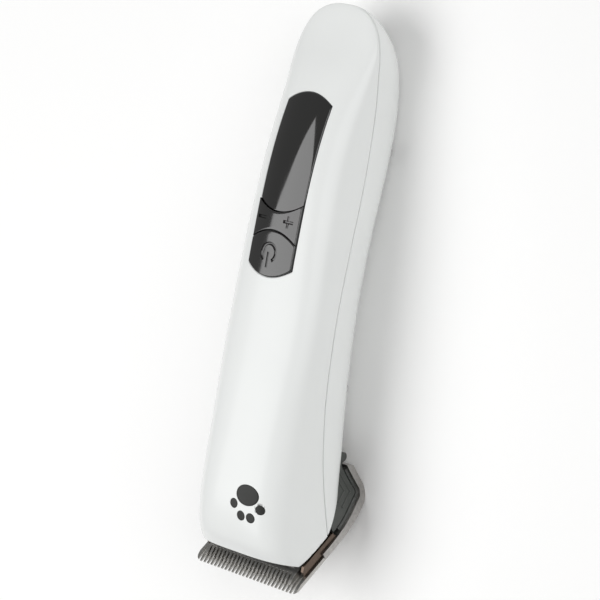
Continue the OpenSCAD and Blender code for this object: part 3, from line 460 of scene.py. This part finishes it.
# Discs made of rings, so that each follows the face when it is draped
def pawShapes(grow, proud, deep):
    bm = bmesh.new()
    spots = [(0, -badge["padBack"], badge["padRadius"] * badge["padWide"], badge["padRadius"])]
    spots += [(x, y, badge["toeRadius"], badge["toeRadius"]) for x, y in badge["toes"]]
    for x, y, rx, ry in spots:
        rings = []
        for height, share in badge["rings"]:
            level = proud if height > 0 else proud - deep
            ring = []
            for k in range(badge["segments"]):
                a = 2 * math.pi * k / badge["segments"]
                ring.append(bm.verts.new((badge["x"] - x + (rx + grow) * share * math.cos(a),
                                          badge["y"] - y + (ry + grow) * share * math.sin(a), level)))
            rings.append(ring)
        for inner, outer in zip(rings, rings[1:]):
            for k in range(badge["segments"]):
                after = (k + 1) % badge["segments"]
                bm.faces.new((inner[k], outer[k], outer[after], inner[after]))
        bm.faces.new(rings[0])
        bm.faces.new(rings[-1])
    bmesh.ops.recalc_face_normals(bm, faces=bm.faces)
    return bm


# Rounds the shell's rims, which meet at a point at the end of the tail and stay sharp there
def roundRims(piece):
    bm = bmesh.new()
    bm.from_mesh(piece.data)
    endsAt = (toRest @ Vector((0, housing["tailEnd"] - housing["sharpTail"], housing["tailHeight"]))).y
    rims = [e for e in bm.edges
            if e.calc_face_angle(0) > math.radians(50) and max(v.co.y for v in e.verts) < endsAt]
    bmesh.ops.bevel(bm, geom=rims, offset=housing["edgeRound"] / 1000, segments=3, profile=0.5,
                    affect="EDGES", material=-1, clamp_overlap=False)
    bm.to_mesh(piece.data)
    bm.free()


def makeShell(side, name):
    bm = bmesh.new()
    bmesh.ops.create_grid(bm, x_segments=housing["columns"], y_segments=housing["rows"], size=0.5)
    straight = housing["straightShare"]
    roundFrom = housing["tailEnd"] - housing["tailRound"]
    for v in bm.verts:
        along = v.co.y + 0.5
        if along < straight:
            y = housing["nose"] + (roundFrom - housing["nose"]) * along / straight
        else:
            turn = (along - straight) / (1 - straight) * math.pi / 2
            y = roundFrom + housing["tailRound"] * math.sin(turn)
        v.co = hullPoint(y, math.pi * (0.5 - v.co.x), side, housing["groove"] / 2)
    bmesh.ops.remove_doubles(bm, verts=bm.verts, dist=0.002)    # the last row is one point
    faceAway(bm, Vector((0, 0, side)))
    bmesh.ops.bisect_plane(bm, geom=allOf(bm), plane_co=bladePoint(0, bladeSet["mouth"]),
                           plane_no=bladePoint(0, 1) - bladePoint(0, 0), clear_inner=True)
    piece = putAtRest(bm, name)
    addModifier(piece, "SOLIDIFY", thickness=housing["wall"] / 1000, offset=-1)
    settle(piece)
    roundRims(piece)
    return piece


def makeFrontShell():
    piece = makeShell(1, "frontShell")
    chamfer = panel["chamfer"]
    over = panel["cutterProud"]
    levels = [(-over, over + chamfer), (chamfer, 0), (panel["openingDepth"], 0)]
    ends = (panel["start"], -panel["endBow"], panel["end"], panel["endBow"])
    opening = faceTile(panel["width"], *ends, levels)
    seats = pawShapes(badge["seat"], badge["seatReach"], badge["seatReach"] + badge["thick"])
    drape(seats)
    cutters = [cutWith(piece, putAtRest(bm, "cutter"), solver="FAST") for bm in (opening, seats)]
    settle(piece, cutters)
    finishSurface(piece, finishes["whiteGloss"])
    return fasten(piece, "housing", "white_gloss", "front_shell")


backDetails = dict(
    collarLine=[(17, 21.2), (24.6, 18.5), (30, 16.2), (36, 15.6), (43.19, 15.6), (43.19, -5), (0, -5),
                (0, 21.2)],
    screws=[(13.3, 61), (11.9, 132)],
    sleeveRadius=3.2,
    headHole=2.2,
    threadHole=1.2,
    headDepth=2.6,
    inletY=164,
    inletTilt=48,
    recess=5.4,
    recessDepth=1.3,
    bore=4.0,
    boreLength=4.0,
    bossRadius=6.6,
    bayRadius=4.65,
    bayLength=5.7,
    wallLeft=0.6,       # of the back under the sleeves
    recessCut=12,       # lengths of the cutters
    boreCut=14,
)


def makeRearShell():
    d = backDetails
    piece = makeShell(-1, "rearShell")
    tilt = math.radians(d["inletTilt"])
    outward = Vector((0, math.sin(tilt), -math.cos(tilt)))
    mouth = Vector((0, d["inletY"], surfaceHeight(0, d["inletY"], 0, -1)))
    added = bmesh.new()
    bossLength = d["boreLength"] + d["bayLength"]
    addRod(added, mouth - outward * d["recessDepth"], -outward, d["bossRadius"], bossLength)
    for x, y in d["screws"]:
        for side in (-1, 1):
            low = surfaceHeight(x + d["sleeveRadius"], y, 0, -1) + d["wallLeft"]
            top = smoothLine(housing["parting"], y) - housing["groove"]
            addRod(added, (side * x, y, low), (0, 0, 1), d["sleeveRadius"], top - low)
    taken = bmesh.new()
    addRod(taken, mouth - outward * d["recessDepth"], outward, d["recess"], d["recessCut"], 64)
    bore = bmesh.new()
    boreFoot = mouth - outward * (d["recessDepth"] + bossLength + 1)
    addRod(bore, boreFoot, outward, d["bore"], d["boreCut"], 64)
    bay = bmesh.new()
    bayTop = mouth - outward * (d["recessDepth"] + d["boreLength"])
    addRod(bay, bayTop, -outward, d["bayRadius"], d["boreCut"], 64)
    holes = bmesh.new()
    threads = bmesh.new()
    for x, y in d["screws"]:
        for side in (-1, 1):
            seat = surfaceHeight(x, y, 0, -1) + d["headDepth"]
            addRod(holes, (side * x, y, seat), (0, 0, -1), d["headHole"], 20)      # out through the back
            addRod(threads, (side * x, y, 0), (0, 0, 1), d["threadHole"], 60, 24)  # up through the sleeve
    neck = bmesh.new()
    addSlab(neck, d["collarLine"], 40)                # wider than the housing
    cutters = [cutWith(piece, putAtRest(added, "cutter"), "UNION")]
    for bm in (neck, taken, bore, bay, holes, threads):
        cutters.append(cutWith(piece, putAtRest(bm, "cutter")))
    settle(piece, cutters)
    finishSurface(piece, finishes["whiteGloss"])
    return fasten(piece, "housing", "white_gloss", "rear_shell")


def makeWindow():
    gap = panel["seam"]
    bm = faceTile(panel["width"] - 2 * gap, panel["rockerSeam"] + gap, -panel["seamBow"],
                  panel["end"] - gap, panel["endBow"], windowEdge + [(panel["windowDepth"], 0)])
    piece = putAtRest(bm, "windowLens")
    finishSurface(piece, finishes["windowBlack"], 50)
    return fasten(piece, "housing", "window_black", "window_lens")


def makeKey(name, y0, bow0, y1, bow1):
    gap = panel["seam"]
    levels = [(-panel["proud"] + depth, grow) for depth, grow in keyEdge]
    levels.append((panel["keyDepth"], 0))
    bm = faceTile(panel["width"] - 2 * gap, y0 + gap, bow0, y1 - gap, bow1, levels)
    return putAtRest(bm, name)


stems = dict(radius=1.2, foot=41.92, depth=1.1, power=97.5, rockerX=4.3, rocker=107.1, ribRadius=0.55,
             ribDepth=1.75, ribLength=5)


# The stem that presses a switch's plunger
def stemAt(x, y):
    top = surfaceHeight(x, y, stems["depth"])
    return ((x, y, stems["foot"]), (0, 0, 1), stems["radius"], top - stems["foot"])


powerMark = dict(x=-0.3, y=97.7, ring=2.7, gap=70, bar=4.6, line=0.52)


# The power sign is pressed into its key as a round-bottomed groove
def makePowerKey():
    piece = makeKey("powerKey", panel["start"], -panel["endBow"], panel["keySeam"], panel["seamBow"])
    groove = bmesh.new()
    m = powerMark
    upright = Matrix.Translation((m["ring"], 0, 0)) @ Matrix.Rotation(math.pi / 2, 4, "X")
    section = bmesh.ops.create_circle(groove, segments=14, radius=m["line"], matrix=upright)
    edges = list({e for v in section["verts"] for e in v.link_edges})
    start = math.radians(-90 + m["gap"] / 2)
    bmesh.ops.rotate(groove, verts=groove.verts, matrix=Matrix.Rotation(start, 3, "Z"), cent=(0, 0, 0))
    bmesh.ops.spin(groove, geom=edges + section["verts"], axis=(0, 0, 1), cent=(0, 0, 0), dvec=(0, 0, 0),
                   angle=math.radians(360 - m["gap"]), steps=36)
    bmesh.ops.holes_fill(groove, edges=[e for e in groove.edges if len(e.link_faces) == 1])
    addRod(groove, (0, 0.2, 0), (0, -1, 0), m["line"], m["bar"], 14)
    bmesh.ops.recalc_face_normals(groove, faces=groove.faces)
    bmesh.ops.translate(groove, vec=(m["x"], m["y"], panel["proud"]), verts=groove.verts)
    drape(groove)
    cutter = cutWith(piece, putAtRest(groove, "cutter"))
    settle(piece, [cutter])
    growRods(piece, [stemAt(0, stems["power"])])
    finishSurface(piece, finishes["keyBlack"], 40)
    return fasten(piece, "power_button", "key_black", "power_key")


rockerMarks = dict(plus=(4.9, 107.5), minus=(-5.6, 107.6), arm=1.8, line=0.48)


# The plus and the minus are pressed in like the power sign
def makeRocker():
    bow = panel["seamBow"]
    piece = makeKey("speedRocker", panel["keySeam"], bow, panel["rockerSeam"], -bow)
    m = rockerMarks
    strokes = [(m["plus"], (1, 0, 0)), (m["plus"], (0, 1, 0)), (m["minus"], (1, 0, 0))]
    cutters = []
    for (x, y), direction in strokes:
        start = Vector((x, y, panel["proud"])) - m["arm"] * Vector(direction)
        stroke = bmesh.new()
        addRod(stroke, start, direction, m["line"], 2 * m["arm"], 14)
        drape(stroke)
        cutters.append(cutWith(piece, putAtRest(stroke, "cutter")))
    settle(piece, cutters)
    half = stems["ribLength"] / 2
    rib = (0, stems["rocker"] - half, surfaceHeight(0, stems["rocker"], stems["ribDepth"]))
    rods = [stemAt(side * stems["rockerX"], stems["rocker"]) for side in (-1, 1)]
    growRods(piece, rods + [(rib, (0, 1, 0), stems["ribRadius"], stems["ribLength"])])
    finishSurface(piece, finishes["keyBlack"], 40)
    return fasten(piece, "rocker", "key_black", "speed_rocker")


def makeBadge():
    bm = pawShapes(0, badge["proud"], badge["thick"] + badge["proud"])
    drape(bm)
    piece = putAtRest(bm, "pawBadge")
    addModifier(piece, "BEVEL", width=badge["soft"] / 1000, segments=2, limit_method="ANGLE",
                angle_limit=math.radians(50))
    settle(piece)
    finishSurface(piece, finishes["badgeBlack"], 40)
    return fasten(piece, "housing", "badge_black", "paw_badge")


makeFrontShell()
print("front shell made")
makeRearShell()
print("rear shell made")
makeWindow()
makePowerKey()
makeRocker()
makeBadge()
print("panel, keys and badge made")


# Machined and moulded pieces: merged copies of the frame's own shapes with soft edges
softPieces = [
    # node, name, body, slot, finish, edge in millimetres, smallest angle that is rounded
    ("neck_collar", "neckCollar", "housing", "collar_grey", "collarGrey", 0.25, 40),
    ("nose_plate", "nosePlate", "housing", "inner_grey", "innerGrey", 0.12, 40),
    ("dust_seal", "dustSeal", "housing", "seal_rubber", "sealRubber", 0.2, 40),
    ("hinge_pin", "hingePin", "housing", "bright_steel", "brightSteel", 0.1, 40),
    ("shell_screws", "shellScrews", "housing", "bright_steel", "brightSteel", 0.1, 40),
    ("charge_jack", "chargeJack", "housing", "jack_black", "jackBlack", 0.15, 40),
    ("jack_pin", "jackPin", "housing", "bright_steel", "brightSteel", 0.2, 40),
    ("blade_base", "bladeBase", "blade_set", "silver_plastic", "silverPlastic", 0.25, 40),
    ("base_trim", "baseTrim", "blade_set", "collar_grey", "trimGrey", 0.2, 40),
    ("comb_plate", "combPlate", "blade_set", "blade_steel", "bladeSteel", 0.07, 30),
    ("comb_screws", "combScrews", "blade_set", "bright_steel", "brightSteel", 0.06, 40),
    ("comb_nuts", "combNuts", "blade_set", "bronze", "bronze", 0.1, 40),
    ("blade_bracket", "bladeBracket", "blade_set", "bracket_steel", "bracketSteel", 0.12, 40),
    ("tension_spring", "tensionSpring", "blade_set", "bright_steel", "brightSteel", 0.05, 40),
    ("cutter", "movingCutter", "cutter_set", "blade_steel", "bladeSteel", 0.07, 30),
    ("drive_fork", "driveFork", "cutter_set", "inner_black", "innerBlack", 0.15, 40),
    ("motor_can", "motorCan", "housing", "bright_steel", "brightSteel", 0.3, 40),
    ("motor_cap", "motorCap", "housing", "inner_black", "innerBlack", 0.2, 40),
    ("battery_cell", "batteryCell", "housing", "cell_blue", "cellBlue", 0.4, 40),
    ("chassis", "chassisFrame", "housing", "inner_grey", "innerGrey", 0.15, 40),
]


def softCopy(node, name, body, slot, finish, edge, angle):
    bm = bmesh.new()
    bm.from_mesh(frame["nodes"][node].data)
    bmesh.ops.remove_doubles(bm, verts=bm.verts, dist=1e-6)
    bmesh.ops.dissolve_limit(bm, angle_limit=math.radians(0.6), verts=bm.verts, edges=bm.edges)
    mesh = bpy.data.meshes.new(name)
    bm.to_mesh(mesh)
    bm.free()
    piece = bpy.data.objects.new(name, mesh)
    bpy.context.scene.collection.objects.link(piece)
    addModifier(piece, "BEVEL", width=edge / 1000, segments=2, limit_method="ANGLE",
                angle_limit=math.radians(angle))
    settle(piece)
    finishSurface(piece, finishes[finish])
    return fasten(piece, body, slot, node)


for row in softPieces:
    softCopy(*row)
print("soft-edged pieces made:", len(softPieces))


# Two ribs run along each side of the collar, over the heel and up to the hinge
collarRibs = dict(heights=[5.6, 7.6], start=30.5, leg=12.0, radius=0.32, sink=0.1, inset=1.0, step=0.7)


# The same line with more points, none further apart than step
def thicken(path, step):
    points = [path[0]]
    for a, b in zip(path, path[1:]):
        count = max(1, math.ceil((b - a).length / step))
        points += [a.lerp(b, k / count) for k in range(1, count + 1)]
    return points


def makeRibs():
    r = collarRibs
    bm = bmesh.new()
    for side in (-1, 1):
        for n in r["heights"]:
            path = thicken(bladeLine(r["start"], n, r["leg"]), r["step"])
            spline = bpy.data.curves.new("rib", "CURVE")
            spline.dimensions = "3D"
            spline.bevel_depth = r["radius"]
            spline.bevel_resolution = 3
            spline.use_fill_caps = True
            line = spline.splines.new("BEZIER")
            line.bezier_points.add(len(path) - 1)
            for point, p in zip(line.bezier_points, path):
                point.co = (side * (planHalf(p.y) - r["inset"] - r["sink"]), p.y, p.z)
                point.handle_left_type = point.handle_right_type = "AUTO"
            holder = bpy.data.objects.new("rib", spline)
            bpy.context.scene.collection.objects.link(holder)
            bpy.context.view_layer.update()
            seen = holder.evaluated_get(bpy.context.evaluated_depsgraph_get())
            mesh = bpy.data.meshes.new_from_object(seen)
            bm.from_mesh(mesh)
            bpy.data.objects.remove(holder)
            bpy.data.meshes.remove(mesh)
    bmesh.ops.remove_doubles(bm, verts=bm.verts, dist=0.001)
    bmesh.ops.recalc_face_normals(bm, faces=bm.faces)
    piece = putAtRest(bm, "collarRibs")
    finishSurface(piece, finishes["collarGrey"], 50)
    return fasten(piece, "housing", "collar_grey")


makeRibs()
print("collar ribs made")


# These pieces stay as the frame has them, in their own finishes
nodeFinishes = dict(
    panel_tray="innerBlack", control_board="boardGreen", switch_bodies="innerBlack",
    power_plunger="plungerWhite", minus_plunger="plungerWhite", plus_plunger="plungerWhite",
    charge_lights="lightClear", motor_bushings="bronze", motor_magnets="magnetGrey",
    armature="copper", motor_shaft="brightSteel", eccentric_cam="plungerWhite",
    drive_pin="brightSteel", cell_tabs="brightSteel", motor_leads="leadRed", cell_leads="leadBlack",
    jack_leads="leadRed",
)
for node, finish in nodeFinishes.items():
    material = finishes[finish]
    held = frame["nodes"][node]
    if not held.material_slots:
        held.data.materials.append(material)
    for place in held.material_slots:
        place.material = material
print("frame pieces painted:", len(nodeFinishes))


studio = dict(
    floorSize=6.0,
    floorTone=(0.97, 0.97, 0.965),
    worldTone=(1.0, 1.0, 1.0),
    worldStrength=0.31,
    lamps=[
        # name, centre, what it is turned to, direction of one edge, size, watts
        ("slantedBox", (-0.265, -0.18, 0.844), (0.135, -0.22, 0.02), (-0.42, -0.89, -0.17),
         (0.9, 0.9), 6.0),
        ("frontBox", (1.3, 0.5, 1.1), (0, 0, 0.03), (0, 1, 0), (1.2, 1.2), 11.0),
    ],
)
cameraAt = dict(place=(0.5261, 0.1089, 0.6032), aim=(-0.0002, -0.0021, 0.0216),
                across=(0.7228, 0.1291, -0.6789), lens=160.3)


def facing(place, aim, across):
    back = (Vector(place) - Vector(aim)).normalized()
    side = Vector(across)
    side = (side - back * side.dot(back)).normalized()
    up = back.cross(side)
    turn = Matrix((side, up, back)).transposed().to_4x4()
    return Matrix.Translation(Vector(place)) @ turn


def makeStudio():
    bm = bmesh.new()
    bmesh.ops.create_grid(bm, x_segments=2, y_segments=2, size=studio["floorSize"] / 2)
    mesh = bpy.data.meshes.new("floor")
    bm.to_mesh(mesh)
    bm.free()
    floor = bpy.data.objects.new("floor", mesh)
    bpy.context.scene.collection.objects.link(floor)
    material = newMaterial("floorPaper", {"Base Color": studio["floorTone"], "Roughness": 0.9,
                                          "Specular IOR Level": 0.1})
    mesh.materials.append(material)
    world = bpy.data.worlds.new("studio")
    world.use_nodes = True
    sky = world.node_tree.nodes["Background"]
    sky.inputs["Color"].default_value = (*studio["worldTone"], 1)
    sky.inputs["Strength"].default_value = studio["worldStrength"]
    bpy.context.scene.world = world
    for name, centre, aim, edge, size, watts in studio["lamps"]:
        lamp = bpy.data.lights.new(name, "AREA")
        lamp.shape = "RECTANGLE"
        lamp.size = size[0]
        lamp.size_y = size[1]
        lamp.energy = watts
        holder = bpy.data.objects.new(name, lamp)
        holder.matrix_world = facing(centre, aim, edge)
        bpy.context.scene.collection.objects.link(holder)
    camera = bpy.data.cameras.new("camera")
    camera.lens = cameraAt["lens"]
    camera.sensor_width = 36
    holder = bpy.data.objects.new("camera", camera)
    holder.matrix_world = facing(cameraAt["place"], cameraAt["aim"], cameraAt["across"])
    bpy.context.scene.collection.objects.link(holder)
    bpy.context.scene.camera = holder
    bpy.context.scene.view_settings.view_transform = "Standard"


makeStudio()
print("studio made")
